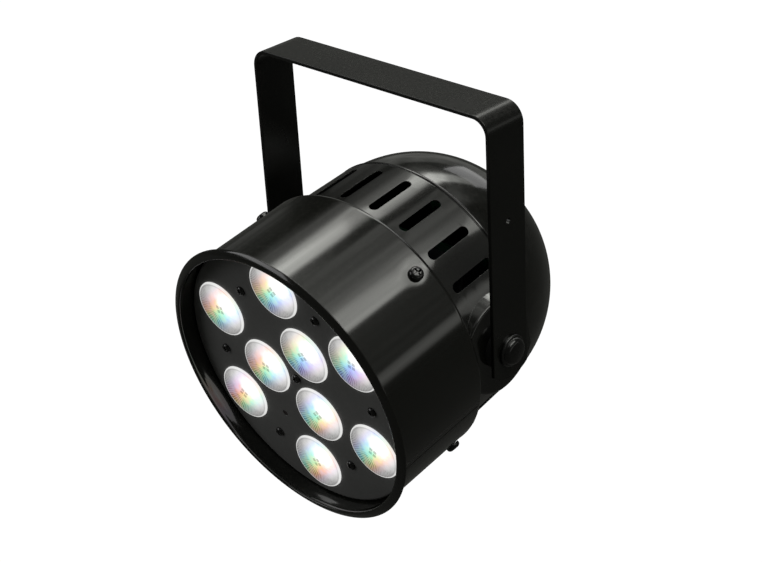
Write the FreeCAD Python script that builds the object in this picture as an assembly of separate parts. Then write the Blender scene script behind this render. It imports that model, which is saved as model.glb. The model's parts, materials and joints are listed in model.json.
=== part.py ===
import FreeCAD, Part
import os
import math
from FreeCAD import Vector

# LED par can on a U-shaped yoke, in millimetres.
# Working frame: origin on the tilt axis at the middle of the can, +X along the
# tilt axis, -Y the way the light points when level, +Z up the yoke's legs.
# The can is built level, then turned about X so that its front points a little
# down. On export all is lowered, so that the origin is the middle of the
# yoke bar's top face. Angles round the can run from +X towards +Z, in degrees.

os.makedirs("parts", exist_ok=True)

# ---------------------------------------------------------------- dimensions
REST_TILT = 9.56          # front below level at rest, degrees
DIAGONAL = math.sqrt(0.5) # places the middle point of a quarter circle

# yoke
YOKE_HALF_W = 95.94       # outside of the legs
YOKE_T = 2.53             # strap thickness
YOKE_HALF_S = 15.45       # half the strap's width
YOKE_TOP = 154.76         # top face of the bar above the tilt axis
YOKE_BEND_R = 12.0        # outside bend radius
YOKE_END_Z = -18.6        # lowest point of the rounded leg ends
YOKE_END_R = 24.3         # radius of the rounded leg ends
YOKE_EDGE_R = 0.45        # rounding of the long strap edges
LEG_HOLE_R = 1.8          # small hole in the +X leg
LEG_HOLE_Z = 86.5
PIVOT_HOLE_R = 5.05       # leg hole, running on the shoulder of the bolt

# front plate and barrel
PLATE_Y = -88.7           # front face of the plate
PLATE_T = 1.5
PLATE_BACK = PLATE_Y + PLATE_T
PLATE_R = 90.4
PLATE_DEPTH = 9.0         # front face to the rear edge of the plate's rim
PLATE_BEND_R = 1.3
LIP_R = 96.5              # outer edge of the flared rim
LIP_Y = -98.57
CREST_R = 91.8            # front-most circle of the rim
CREST_Y = -100.7
BARREL_R0 = 92.24         # outside radius at the front
BARREL_R1 = 91.86         # outside radius at the rear
BARREL_T = 1.2
BARREL_Y1 = -23.2         # rear edge
BARREL_BEND_R = 2.4       # outside radius of the turned-in rear edge

# light board, heat sink and fan
BOARD_Y0 = -64.6
BOARD_Y1 = BOARD_Y0 + 1.6
BOARD_R = 82.5
SINK_Y1 = -57.0           # rear face of the sink's disc
SINK_R = 84.0
FIN_Y1 = -38.0            # rear edge of the fins
FIN_DISC_R = 70.5
FIN_PITCH = 9.0
FAN_Y0 = FIN_Y1
FAN_Y1 = FAN_Y0 + 15.0

# vented housing
SKIN = 1.2                # sheet thickness of housing and dome
SKIRT_R = 90.6
SKIRT_Y0 = SINK_Y1
SKIRT_Y1 = -26.6
FLANGE_R = 72.0           # opening of the skirt's front flange
VENT_R0 = 86.98
VENT_R1 = 85.4
VENT_Y0 = -21.3
VENT_Y1 = 27.25
BOSS_X = 88.0             # flat face of the pressed pivot bosses
BOSS_R = 31.6
BOSS_DEPTH = 26.0
BOSS_TAPER = 0.22
BOSS_Y0 = -22.8
BOSS_Y1 = 26.3
SLOT_HALF_W = 3.3
SLOT_Y0 = -16.3
SLOT_Y1 = 18.9
SLOT_ANGLES = [32.5 + 15.95 * k for k in range(8)]
BARREL_SCREW_ANGLES = [46.4 + 90 * k for k in range(4)]
BARREL_SCREW_Y = -34.4

# rear dome and panel
DOME_R = 84.5
DOME_YC = 23.06           # centre of the dome's sphere
DOME_LIP_Y = 27.5
SEAT_R = 44.0             # opening of the panel's seat ring
PANEL_SEAT_R = 52.6
PANEL_R = 52.4
PANEL_Y0 = 85.95          # inner face of the rear panel
PANEL_Y1 = PANEL_Y0 + 1.5 # outer face of the rear panel

# lenses
LENS_R = 19.0
LENS_Y = -89.74           # front rim of the lenses
OUTER_PCR = 65.83         # pitch circle radii
INNER_PCR = 26.07
PLATE_SCREW_PCR = 63.65
PATTERN_TURN = 1.4        # turn of the plate's hole pattern from the tilt axis

# screws: shank radius, length, head radius, head height
SINK_SCREW = (1.65, 6.0, 3.4, 2.0)
PLATE_SCREW = (1.5, 8.0, 3.1, 1.9)
FAN_SCREW = (1.7, 24.0, 3.3, 2.0)
SOCKET_SCREW = (1.5, 7.0, 2.6, 1.6)
PANEL_SCREW = (1.4, 6.0, 2.9, 1.7)
BARREL_SCREW = (1.9, 8.0, 4.5, 3.0)
BARREL_SCREW_SEAT_R = 91.98


def polar(r, angle):
    return r * math.cos(math.radians(angle)), r * math.sin(math.radians(angle))


# places, as (x, z)
LENS_XZ = ([polar(OUTER_PCR, PATTERN_TURN + 30 + 60 * k) for k in range(6)]
           + [polar(INNER_PCR, PATTERN_TURN + 60 + 120 * k) for k in range(3)])
PLATE_SCREW_XZ = [polar(PLATE_SCREW_PCR, PATTERN_TURN + 60 * k) for k in range(6)] + [(0.0, 0.0)]
SINK_SCREW_XZ = [polar(78.0, angle) for angle in (45, 135, 225, 315)]
FAN_SCREW_XZ = [(x, z) for x in (-25, 25) for z in (-25, 25)]
PANEL_SCREW_XZ = [polar(48.3, angle) for angle in (35, 145, 215, 325)]
EYE_XZ = (-20.4, -36.4)   # small receiver eye in the plate
CABLE_XZ = polar(53.8, 300)


# ------------------------------------------------------------------- helpers
def outline(points):
    """Closed wire in the XY plane from points and ("arc", middle, end) entries."""
    edges = []
    first = Vector(*points[0], 0)
    current = first
    for point in points[1:]:
        if point[0] == "arc":
            end = Vector(*point[2], 0)
            edges.append(Part.Arc(current, Vector(*point[1], 0), end).toShape())
        else:
            end = Vector(*point, 0)
            if end.distanceToPoint(current) > 1e-7:
                edges.append(Part.LineSegment(current, end).toShape())
        current = end
    if current.distanceToPoint(first) > 1e-7:
        edges.append(Part.LineSegment(current, first).toShape())
    return Part.Wire(edges)


def revolve(points):
    """Solid of revolution about Y from (radius, y) points."""
    return Part.Face(outline(points)).revolve(Vector(0, 0, 0), Vector(0, 1, 0), 360)


def cyl_y(r, y0, y1, x=0.0, z=0.0):
    return Part.makeCylinder(r, y1 - y0, Vector(x, y0, z), Vector(0, 1, 0))


def cyls_y(r, y0, y1, places):
    return [cyl_y(r, y0, y1, x, z) for x, z in places]


def cyl_x(r, start, length, z=0.0, side=1):
    """Cylinder along X, or along -X from -start where side is -1."""
    return Part.makeCylinder(r, length, Vector(side * start, 0, z), Vector(side, 0, 0))


def box(x0, x1, y0, y1, z0, z1):
    return Part.makeBox(x1 - x0, y1 - y0, z1 - z0, Vector(x0, y0, z0))


def single(shape):
    """The solid itself where a compound holds only one."""
    if shape.ShapeType == "Compound" and len(shape.Solids) == 1:
        return shape.Solids[0]
    return shape


def fuse(shapes):
    return single(shapes[0].multiFuse(shapes[1:]).removeSplitter())


def cut(shape, tools):
    return single(shape.cut(tools))


def turn(shape, axis, angle):
    """Turn a shape in place about an axis through the origin."""
    shape.rotate(Vector(0, 0, 0), Vector(*axis), angle)


def round_long_y(shape, radius, length):
    """Fillet the edges that reach further than length along Y."""
    return shape.makeFillet(radius, [e for e in shape.Edges
                                     if abs(e.BoundBox.YMax - e.BoundBox.YMin) > length])


def round_behind(shape, radius, y):
    """Fillet the edges that lie wholly behind y."""
    return shape.makeFillet(radius, [e for e in shape.Edges if e.BoundBox.YMin > y])


def moved(shape, x, z):
    shape = shape.copy()
    shape.translate(Vector(x, 0, z))
    return shape


def aim(shape, position, direction):
    """Copy of a Z-aligned shape at position, its +Z along direction."""
    shape = shape.copy()
    turned = FreeCAD.Rotation(Vector(0, 0, 1), Vector(*direction))
    shape.Placement = FreeCAD.Placement(Vector(*position), turned)
    return shape


def hexagon(across_flats, height):
    """Hexagonal prism from z=0 up."""
    r = across_flats / math.sqrt(3.0)
    points = [Vector(*polar(r, 60 * k + 30), 0) for k in range(6)]
    return Part.Face(Part.makePolygon(points + points[:1])).extrude(Vector(0, 0, height))


def cross(depth, span, width):
    """Cross recess tool, centred on Z, from z=0 down by depth."""
    along_x = Part.makeBox(span, width, depth + 0.5, Vector(-span / 2, -width / 2, -depth))
    along_y = Part.makeBox(width, span, depth + 0.5, Vector(-width / 2, -span / 2, -depth))
    return along_x.fuse(along_y)


def pan_screw(shank_r, length, head_r, head_h):
    """Screw along Z: seat at z=0, head upwards, shank downwards."""
    screw = revolve([
        (0, -length), (shank_r * 0.75, -length), (shank_r, -length + shank_r * 0.5),
        (shank_r, 0), (head_r, 0), (head_r, head_h * 0.42),
        ("arc", (head_r * 0.80, head_h * 0.83), (head_r * 0.42, head_h)), (0, head_h)])
    turn(screw, (1, 0, 0), 90)
    recess = cross(head_h * 0.62, head_r * 1.15, head_r * 0.27)
    recess.translate(Vector(0, 0, head_h))
    return cut(screw, [recess])


def screws_y(sizes, places, seat_y, facing):
    """Screws seated at seat_y, heads to +Y (facing 1) or -Y (facing -1)."""
    screw = pan_screw(*sizes)
    return [aim(screw, (x, seat_y, z), (0, facing, 0)) for x, z in places]


def barrel_screw_holes(radius):
    holes = []
    for angle in BARREL_SCREW_ANGLES:
        x, z = polar(1, angle)
        start = Vector(80 * x, BARREL_SCREW_Y, 80 * z)
        holes.append(Part.makeCylinder(radius, 20, start, Vector(x, 0, z)))
    return holes


def export(name, shape, tilt=True):
    """Write one piece, or a list of solids as one piece, in the rest position."""
    if isinstance(shape, (list, tuple)):
        shape = Part.makeCompound(list(shape))
    shape = shape.copy()
    if tilt:
        turn(shape, (1, 0, 0), REST_TILT)
    shape.translate(Vector(0, 0, -YOKE_TOP))
    assert shape.isValid(), name
    shape.exportStep("parts/%s.step" % name)


# ---------------------------------------------------------------------- yoke
def make_yoke():
    side, top, low = YOKE_HALF_W, YOKE_TOP, YOKE_END_Z
    inside, under = side - YOKE_T, top - YOKE_T
    bend_x, bend_z = side - YOKE_BEND_R, top - YOKE_BEND_R
    outer = YOKE_BEND_R * DIAGONAL
    inner = (YOKE_BEND_R - YOKE_T) * DIAGONAL
    profile = outline([
        (-side, low), (-side, bend_z),
        ("arc", (-bend_x - outer, bend_z + outer), (-bend_x, top)),
        (bend_x, top),
        ("arc", (bend_x + outer, bend_z + outer), (side, bend_z)),
        (side, low), (inside, low), (inside, bend_z),
        ("arc", (bend_x + inner, bend_z + inner), (bend_x, under)),
        (-bend_x, under),
        ("arc", (-bend_x - inner, bend_z + inner), (-inside, bend_z)),
        (-inside, low)])
    yoke = Part.Face(profile).extrude(Vector(0, 0, 2 * YOKE_HALF_S))
    # the profile is drawn in XY: stand it up so that its Y becomes Z
    turn(yoke, (1, 0, 0), 90)
    yoke.translate(Vector(0, YOKE_HALF_S, 0))

    # rounded leg ends
    end_z = YOKE_END_Z + YOKE_END_R
    across = 2 * side + 20
    keep_end = cyl_x(YOKE_END_R, -side - 10, across, end_z)
    keep_top = box(-side - 10, side + 10, -40, 40, end_z - 14.0, top + 10)
    yoke = yoke.common(keep_end.fuse(keep_top))
    yoke = cut(yoke, [cyl_x(PIVOT_HOLE_R, -side - 10, across),
                      cyl_x(LEG_HOLE_R, side - 20, 30, LEG_HOLE_Z)]).removeSplitter()
    if yoke.ShapeType == "Compound":
        yoke = yoke.Solids[0]

    # break the long strap edges
    edges = []
    for edge in yoke.Edges:
        bounds = edge.BoundBox
        flat = abs(bounds.YMin - bounds.YMax) < 1e-6
        if flat and abs(abs(bounds.YMin) - YOKE_HALF_S) < 1e-6:
            edges.append(edge)
    # the fillet may fail where the leg ends meet the straight edges:
    # the edges then stay sharp
    try:
        rounded = yoke.makeFillet(YOKE_EDGE_R, edges)
        if rounded.isValid() and len(rounded.Solids) == 1:
            yoke = rounded.Solids[0]
    except Exception:
        pass
    return yoke


export("yoke_bracket", make_yoke(), tilt=False)


# -------------------------------------------------------------------- barrel
def ring_piece(angle0, angle1, r0, r1, y0, y1):
    """Piece of a ring about Y between two angles."""
    ring = cyl_y(r1, y0, y1).cut(cyl_y(r0, y0 - 1, y1 + 1))
    points = [Vector(0, y0 - 2, 0)]
    for angle in (angle0, (angle0 + angle1) / 2, angle1):
        x, z = polar(r1 * 1.2, angle)
        points.append(Vector(x, y0 - 2, z))
    wedge = Part.Face(Part.makePolygon(points + points[:1]))
    return ring.common(wedge.extrude(Vector(0, y1 - y0 + 4, 0)))


def make_barrel():
    bend_r, bend_y = BARREL_R1 - BARREL_BEND_R, BARREL_Y1 - BARREL_BEND_R
    outer = BARREL_BEND_R * DIAGONAL
    inner = (BARREL_BEND_R - BARREL_T) * DIAGONAL
    tube = revolve([
        # outside, to the turned-in rear edge
        (BARREL_R0, LIP_Y + 2.2), (BARREL_R1, bend_y),
        ("arc", (bend_r + outer, bend_y + outer), (bend_r, BARREL_Y1)),
        (88.6, BARREL_Y1), (88.6, BARREL_Y1 - BARREL_T), (bend_r, BARREL_Y1 - BARREL_T),
        ("arc", (bend_r + inner, bend_y + inner), (BARREL_R1 - BARREL_T, bend_y)),
        # inside, then round the flared front rim
        (BARREL_R0 - BARREL_T, LIP_Y + 2.6), (90.55, LIP_Y + 0.6),
        ("arc", (90.65, CREST_Y + 0.55), (CREST_R, CREST_Y)),
        ("arc", (94.3, LIP_Y - 1.35), (LIP_R - 0.25, LIP_Y - 0.12)),
        ("arc", (LIP_R, LIP_Y + 0.25), (LIP_R - 0.3, LIP_Y + 0.6)),
        (93.2, LIP_Y + 1.15)])
    # lapped sheet joint along the barrel, and the groove beside it
    lap = ring_piece(-29.4, -18.3, BARREL_R1 - 0.5, BARREL_R1 + 0.62, LIP_Y + 3.0, bend_y)
    groove = ring_piece(-15.75, -15.2, BARREL_R1 - 0.25, BARREL_R1 + 2, LIP_Y + 4, bend_y)
    return cut(fuse([tube, lap]), [groove] + barrel_screw_holes(2.15))


export("front_barrel", make_barrel())


# ------------------------------------------------------------ vented housing
def make_boss(side, face_r, face_x):
    return Part.makeCone(face_r + BOSS_TAPER * BOSS_DEPTH, face_r, BOSS_DEPTH,
                         Vector(side * (face_x - BOSS_DEPTH), 0, 0), Vector(side, 0, 0))


def slot_tool(angle):
    """Round-ended slot through the wall at an angle round the can."""
    y0, y1 = SLOT_Y0 + SLOT_HALF_W, SLOT_Y1 - SLOT_HALF_W
    slot = box(-SLOT_HALF_W, SLOT_HALF_W, y0, y1, 70, 100)
    for y in (y0, y1):
        slot = slot.fuse(Part.makeCylinder(SLOT_HALF_W, 30, Vector(0, y, 70), Vector(0, 0, 1)))
    turn(slot, (0, 1, 0), 90 - angle)
    return slot


def make_vent_housing():
    outside = revolve([
        (0, SKIRT_Y0), (SKIRT_R, SKIRT_Y0), (SKIRT_R, SKIRT_Y1),
        ("arc", (SKIRT_R - 0.6, SKIRT_Y1 + 1.2), (88.0, SKIRT_Y1 + 1.7)),
        (88.0, -22.6), ("arc", (87.4, -21.7), (VENT_R0, VENT_Y0 + 0.6)),
        (VENT_R1 + 0.03, VENT_Y1 - 1.0),
        ("arc", (VENT_R1 - 0.25, VENT_Y1 - 0.3), (VENT_R1 - 0.9, VENT_Y1)), (0, VENT_Y1)])
    inside = revolve([
        (0, SKIRT_Y0 + SKIN), (SKIRT_R - SKIN, SKIRT_Y0 + SKIN),
        (SKIRT_R - SKIN, SKIRT_Y1 - 1.0), (86.8, SKIRT_Y1 + 0.4), (86.8, -23.0),
        (VENT_R0 - SKIN, VENT_Y0 - 0.4), (VENT_R1 - SKIN, VENT_Y1 + 1), (0, VENT_Y1 + 1)])
    clip_outside = box(-200, 200, BOSS_Y0, BOSS_Y1, -60, 60)
    clip_inside = box(-200, 200, BOSS_Y0 + SKIN, BOSS_Y1 - SKIN - 0.4, -60, 60)
    for side in (1, -1):
        boss = make_boss(side, BOSS_R, BOSS_X)
        # soften the rim of the pressed face
        rim = [e for e in boss.Edges if abs(e.BoundBox.XMin - side * BOSS_X) < 1e-4
               and abs(e.BoundBox.XMax - side * BOSS_X) < 1e-4]
        boss = boss.makeFillet(2.2, rim)
        outside = outside.fuse(boss.common(clip_outside))
        hollow = make_boss(side, BOSS_R - SKIN, BOSS_X - SKIN)
        inside = inside.fuse(hollow.common(clip_inside))

    tools = [cyl_y(FLANGE_R, SKIRT_Y0 - 5, SKIRT_Y0 + 5)]
    # vent slots, above and below
    tools += [slot_tool(angle) for angle in SLOT_ANGLES + [-a for a in SLOT_ANGLES]]
    tools += barrel_screw_holes(1.95)
    tools += [cyl_x(4.1, 75, 30, side=side) for side in (1, -1)]
    tools += cyls_y(2.1, SKIRT_Y0 - 3, SKIRT_Y0 + 4, SINK_SCREW_XZ)
    return cut(outside.cut(inside), tools)


export("vent_housing", make_vent_housing())


# ----------------------------------------------------------------- rear dome
def on_sphere(r, sphere_r):
    """Profile point at radius r on a sphere about the dome's centre."""
    return r, DOME_YC + math.sqrt(sphere_r ** 2 - r ** 2)


def make_dome():
    lip = DOME_LIP_Y
    seat = PANEL_Y0 - 0.05
    crown = on_sphere(54.6, DOME_R)
    dome = revolve([
        # spigot and lip
        (82.75, lip - 7.0), (84.05, lip - 7.0), (84.05, lip), (85.35, lip),
        ("arc", (85.55, lip + 0.7), (85.25, lip + 1.5)), (84.15, lip + 2.6),
        # outside, then the panel's seat
        ("arc", on_sphere(72.0, DOME_R), crown),
        (PANEL_SEAT_R + 0.9, crown[1] + 0.35), (PANEL_SEAT_R, crown[1] + 0.05),
        (PANEL_SEAT_R, seat), (SEAT_R, seat), (SEAT_R, seat - SKIN), (53.2, seat - SKIN),
        # inside
        ("arc", on_sphere(72.0, DOME_R - SKIN), (82.75, lip + 5.0))])
    # notch in the seat ring for the mains inlet's body
    notch = box(-14.2, 14.2, PANEL_Y0 - 6, PANEL_Y0 + 1, -46.7, -38.0)
    return cut(dome, cyls_y(1.45, PANEL_Y0 - 5, PANEL_Y0 + 5, PANEL_SCREW_XZ) + [notch])


export("rear_dome", make_dome())


# --------------------------------------------------------------- front plate
def make_plate():
    flat_r, bend_y = PLATE_R - PLATE_BEND_R, PLATE_Y + PLATE_BEND_R
    bend = PLATE_BEND_R * DIAGONAL
    rim_y = PLATE_Y + PLATE_DEPTH
    plate = revolve([
        (0, PLATE_Y), (flat_r, PLATE_Y), ("arc", (flat_r + bend, bend_y - bend), (PLATE_R, bend_y)),
        (PLATE_R, rim_y), (PLATE_R - 1.2, rim_y), (PLATE_R - 1.2, PLATE_BACK), (0, PLATE_BACK)])
    y0, y1 = PLATE_Y - 2, PLATE_Y + 4
    return cut(plate, cyls_y(LENS_R + 0.15, y0, y1, LENS_XZ)
               + cyls_y(1.7, y0, y1, PLATE_SCREW_XZ) + [cyl_y(2.0, y0, y1, *EYE_XZ)])


export("front_plate", make_plate())


# ------------------------------------------------ lenses, holders, emitters
def make_lens():
    return revolve([
        (0, LENS_Y - 0.75), ("arc", (LENS_R * 0.5, LENS_Y - 0.57), (LENS_R - 0.5, LENS_Y)),
        (LENS_R - 0.15, LENS_Y + 0.15), (LENS_R, LENS_Y + 0.45), (LENS_R, PLATE_BACK + 0.1),
        (20.3, PLATE_BACK + 0.1), (20.3, PLATE_BACK + 1.6), (18.2, PLATE_BACK + 1.6),
        ("arc", (13.6, -73.0), (6.6, -66.2)), (4.0, -66.2), (4.0, -69.4), (0, -70.4)])


def make_holder():
    front = PLATE_BACK + 0.05
    return revolve([
        (20.6, front), (21.6, front), (21.6, front + 3.2), ("arc", (16.4, -72.0), (9.4, -64.62)),
        (6.0, -64.62), (6.0, -65.6), (7.4, -65.6),
        ("arc", (14.6, -72.6), (18.9, front + 1.9)), (20.6, front + 1.9)])


def make_emitter(x, z):
    """Square base on the board with a domed front."""
    base_y = BOARD_Y0 - 0.9
    base = box(x - 3.5, x + 3.5, base_y, BOARD_Y0, z - 3.5, z + 3.5)
    dome = Part.makeSphere(2.4, Vector(x, base_y, z)).common(
        box(x - 3, x + 3, BOARD_Y0 - 4, BOARD_Y0 - 0.5, z - 3, z + 3))
    return fuse([base, dome])


lens, holder = make_lens(), make_holder()
for number, (x, z) in enumerate(LENS_XZ, 1):
    export("lens_%d" % number, moved(lens, x, z))
export("lens_holders", [moved(holder, x, z) for x, z in LENS_XZ])
export("led_emitters", [make_emitter(x, z) for x, z in LENS_XZ])


# ------------------------------------------------------ LED board, heat sink
def make_led_board():
    y0, y1 = BOARD_Y0 - 1, BOARD_Y1 + 1
    return cut(cyl_y(BOARD_R, BOARD_Y0, BOARD_Y1),
               cyls_y(4.2, y0, y1, PLATE_SCREW_XZ) + [cyl_y(2.6, y0, y1, *CABLE_XZ)])


def make_heat_sink():
    """Disc with fins and fan screw pillars on its rear face."""
    root_y = SINK_Y1 - 0.5
    fin_limit = cyl_y(FIN_DISC_R, SINK_Y1 - 1, FIN_Y1)
    solids = [cyl_y(SINK_R, BOARD_Y1, SINK_Y1)]
    for k in range(-7, 8):
        z = k * FIN_PITCH
        solids.append(box(-80, 80, root_y, FIN_Y1, z - 1.0, z + 1.0).common(fin_limit))
    sink = fuse(solids + cyls_y(3.6, root_y, FIN_Y1, FAN_SCREW_XZ))
    return cut(sink, cyls_y(1.75, FIN_Y1 - 12, FIN_Y1 + 1, FAN_SCREW_XZ)
               + [cyl_y(2.6, BOARD_Y1 - 1, FIN_Y1 + 1, *CABLE_XZ)]
               + cyls_y(1.7, BOARD_Y1 - 1, SINK_Y1 + 1, SINK_SCREW_XZ))


def make_plate_post(x, z):
    """Post between front plate and heat sink, bored for the plate screw."""
    return cut(cyl_y(3.4, PLATE_BACK, BOARD_Y1, x, z),
               [cyl_y(1.55, PLATE_BACK - 1, PLATE_BACK + 9, x, z)])


export("led_board", make_led_board())
export("heat_sink", make_heat_sink())
# heat sink to housing flange, screwed from behind
export("sink_screws", screws_y(SINK_SCREW, SINK_SCREW_XZ, SKIRT_Y0 + SKIN, 1))
export("plate_posts", [make_plate_post(x, z) for x, z in PLATE_SCREW_XZ])
export("plate_screws", screws_y(PLATE_SCREW, PLATE_SCREW_XZ, PLATE_Y, -1))
export("receiver_eye", fuse([cyl_y(1.9, PLATE_Y + 0.35, PLATE_BACK + 0.1, *EYE_XZ),
                             cyl_y(2.6, PLATE_BACK + 0.05, PLATE_BACK + 4.5, *EYE_XZ)]))


# ----------------------------------------------------------------------- fan
FAN_HALF_W = 30
BLADE_COUNT = 7
BLADE_TIP_R = 27.4
BLADE_PITCH = 52          # degrees


def make_fan_frame():
    y0, y1 = FAN_Y0 - 1, FAN_Y1 + 1
    frame = box(-FAN_HALF_W, FAN_HALF_W, FAN_Y0, FAN_Y1, -FAN_HALF_W, FAN_HALF_W)
    frame = round_long_y(frame, 4.0, 10)
    frame = cut(frame, [cyl_y(28.3, y0, y1)] + cyls_y(2.1, y0, y1, FAN_SCREW_XZ))
    # motor seat and its spokes at the rear
    solids = [frame, cyl_y(14.0, FAN_Y1 - 2.0, FAN_Y1)]
    for angle in (20, 110, 200, 290):
        spoke = box(0, 30, FAN_Y1 - 2.0, FAN_Y1 - 0.2, -1.2, 1.2).common(
            cyl_y(29.2, FAN_Y0, FAN_Y1 + 1))
        turn(spoke, (0, 1, 0), angle)
        solids.append(spoke)
    return cut(fuse(solids), [cyl_y(1.55, FAN_Y1 - 3, FAN_Y1 + 1)])


def make_fan_rotor():
    hub = fuse([cyl_y(13.6, FAN_Y0 + 0.8, FAN_Y1 - 2.5), cyl_y(1.5, FAN_Y1 - 3, FAN_Y1 - 0.4)])
    solids = [hub]
    for k in range(BLADE_COUNT):
        blade = box(12.6, BLADE_TIP_R, -7.0, 7.0, -0.7, 0.7)
        turn(blade, (1, 0, 0), BLADE_PITCH)
        blade.translate(Vector(0, (FAN_Y0 + FAN_Y1) / 2 - 1.0, 0))
        turn(blade, (0, 1, 0), 360.0 / BLADE_COUNT * k)
        solids.append(blade.common(cyl_y(BLADE_TIP_R, FAN_Y0 + 0.6, FAN_Y1 - 2.6)))
    return fuse(solids)


export("fan_frame", make_fan_frame())
export("fan_rotor", make_fan_rotor())
export("fan_screws", screws_y(FAN_SCREW, FAN_SCREW_XZ, FAN_Y1, 1))

# ---------------------------------------------------- rear panel and controls
SOCKET_X = 16.0           # data in at +X, data out at -X, both at z=0
SOCKET_SCREW_XZ = [(centre + dx, dz) for centre in (-SOCKET_X, SOCKET_X)
                   for dx, dz in ((-9.5, 12.0), (9.5, -12.0))]
INLET_Z0, INLET_Z1 = -47.5, -17.2
WINDOW_HALF_W = 17.0
WINDOW_Z0, WINDOW_Z1 = 27.5, 40.5
BUTTON_Z = 21.0
BUTTONS = {"menu_button": 16.5, "down_button": 5.5, "up_button": -5.5, "enter_button": -16.5}
BUTTON_TOP = PANEL_Y1 + 1.5
CONTROL_Y0, CONTROL_Y1 = 74.4, 76.0
CONTROL_POST_XZ = [(x, z) for x in (-26, 26) for z in (19.5, 31.0)]
POWER_Y0, POWER_Y1 = 44.0, 45.6
POWER_POST_XZ = [(-37.0, 5.0), (37.0, 5.0), (-26.0, -32.0), (26.0, -32.0)]


def make_rear_panel():
    y0, y1 = PANEL_Y0 - 1, PANEL_Y1 + 1
    tools = cyls_y(12.0, y0, y1, [(-SOCKET_X, 0), (SOCKET_X, 0)])
    tools.append(box(-13.7, 13.7, y0, y1, INLET_Z0 + 1.3, INLET_Z1 - 1.3))
    tools.append(box(-WINDOW_HALF_W, WINDOW_HALF_W, y0, y1, WINDOW_Z0, WINDOW_Z1))
    tools += cyls_y(3.1, y0, y1, [(x, BUTTON_Z) for x in BUTTONS.values()])
    # clearance for the data-out latch
    tools.append(box(-SOCKET_X - 3.2, -SOCKET_X + 3.2, y0, y1, 8.0, 14.4))
    tools += cyls_y(1.6, y0, y1, SOCKET_SCREW_XZ)
    tools += cyls_y(1.7, y0, y1, PANEL_SCREW_XZ)
    return cut(cyl_y(PANEL_R, PANEL_Y0, PANEL_Y1), tools)


def make_window():
    half_w = WINDOW_HALF_W - 0.1
    window = box(-half_w, half_w, PANEL_Y0 + 0.05, PANEL_Y1 + 0.4,
                 WINDOW_Z0 + 0.1, WINDOW_Z1 - 0.1)
    return round_behind(window, 0.35, PANEL_Y1)


def make_button(x):
    button = fuse([cyl_y(3.0, 80.6, BUTTON_TOP, x, BUTTON_Z),
                   cyl_y(3.8, 80.6, 82.0, x, BUTTON_Z),
                   cyl_y(1.6, 80.0, 81.0, x, BUTTON_Z)])
    # a failed fillet leaves the rim of the cap sharp
    try:
        button = round_behind(button, 0.5, BUTTON_TOP - 0.1)
    except Exception:
        pass
    return button


export("rear_panel", make_rear_panel())
export("display_window", make_window())
export("display_module", box(-15.5, 15.5, CONTROL_Y1, PANEL_Y0 - 0.2,
                             WINDOW_Z0 + 0.5, WINDOW_Z1 - 0.5))
export("control_board", cut(box(-30, 30, CONTROL_Y0, CONTROL_Y1, 16.5, 43.5),
                            cyls_y(1.6, 74, 77, CONTROL_POST_XZ)))
export("button_switches", [box(x - 3, x + 3, CONTROL_Y1, 79.1, BUTTON_Z - 3, BUTTON_Z + 3)
                           for x in BUTTONS.values()])
for name, x in BUTTONS.items():
    export(name, make_button(x))

# boards hang on standoffs from the rear panel
export("control_standoffs", cyls_y(2.5, CONTROL_Y1, PANEL_Y0, CONTROL_POST_XZ))
export("power_standoffs", cyls_y(2.6, POWER_Y1, PANEL_Y0, POWER_POST_XZ))
export("power_board", box(-46, 46, POWER_Y0, POWER_Y1, -44, 20))
export("power_board_parts", [
    box(-20, 10, 22.0, POWER_Y0, -12, 14), box(16, 40, 32.0, POWER_Y0, -20, 2),
    cyl_y(8.0, 20.0, POWER_Y0, -31, 4), cyl_y(6.0, 26.0, POWER_Y0, -32, -20),
    box(-12, 2, 30.0, POWER_Y0, -38, -22), cyl_y(4.0, 32.0, POWER_Y0, 20, 12),
    box(34, 38, 26.0, POWER_Y0, 4, 18)])

# -------------------------------------------------------------- data sockets
SOCKET_FLOOR = PANEL_Y1 - 10.0
CONTACTS = [(-3.4, 1.6), (3.4, 1.6), (0, -3.6)]   # data out; data in is flipped in z


def socket_base(x):
    """Round socket body with a screwed flange and a raised ring."""
    y = PANEL_Y1
    flange = round_long_y(box(x - 13, x + 13, y, y + 2.0, -15.5, 15.5), 2.5, 1.5)
    body = cyl_y(11.8, 64.0, y + 0.5, x)
    base = cut(fuse([flange, body]), cyls_y(1.6, y - 1, y + 3, SOCKET_SCREW_XZ))
    return fuse([base, cyl_y(11.0, y + 1.0, y + 3.0, x)])


def make_male_socket(x):
    y = PANEL_Y1
    socket = cut(socket_base(x), [cyl_y(9.4, SOCKET_FLOOR, y + 5, x)])
    key = box(x - 1.2, x + 1.2, y - 9.9, y + 2.0, -9.6, -8.2)
    return fuse([socket, key])


def make_female_socket(x):
    y = PANEL_Y1
    gap = cyl_y(9.6, SOCKET_FLOOR, y + 5, x).cut(cyl_y(7.6, y - 11.0, y + 2.2, x))
    contacts = cyls_y(1.35, y - 9.0, y + 4, [(x + dx, dz) for dx, dz in CONTACTS])
    latch_slot = box(x - 3.1, x + 3.1, SOCKET_FLOOR, y + 6, 8.4, 14.3)
    return cut(socket_base(x), [gap] + contacts + [latch_slot])


def make_latch(x):
    latch = box(x - 3.0, x + 3.0, PANEL_Y1 - 6.0, PANEL_Y1 + 4.2, 9.9, 14.2)
    return round_behind(latch, 0.8, PANEL_Y1 + 4.1)


export("data_in_socket", make_male_socket(SOCKET_X))
export("data_in_pins", cyls_y(1.2, SOCKET_FLOOR, PANEL_Y1 - 1.0,
                              [(SOCKET_X + dx, -dz) for dx, dz in CONTACTS]))
export("data_out_socket", make_female_socket(-SOCKET_X))
export("data_out_latch", make_latch(-SOCKET_X))
export("socket_screws", screws_y(SOCKET_SCREW, SOCKET_SCREW_XZ, PANEL_Y1 + 2.0, 1))

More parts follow.
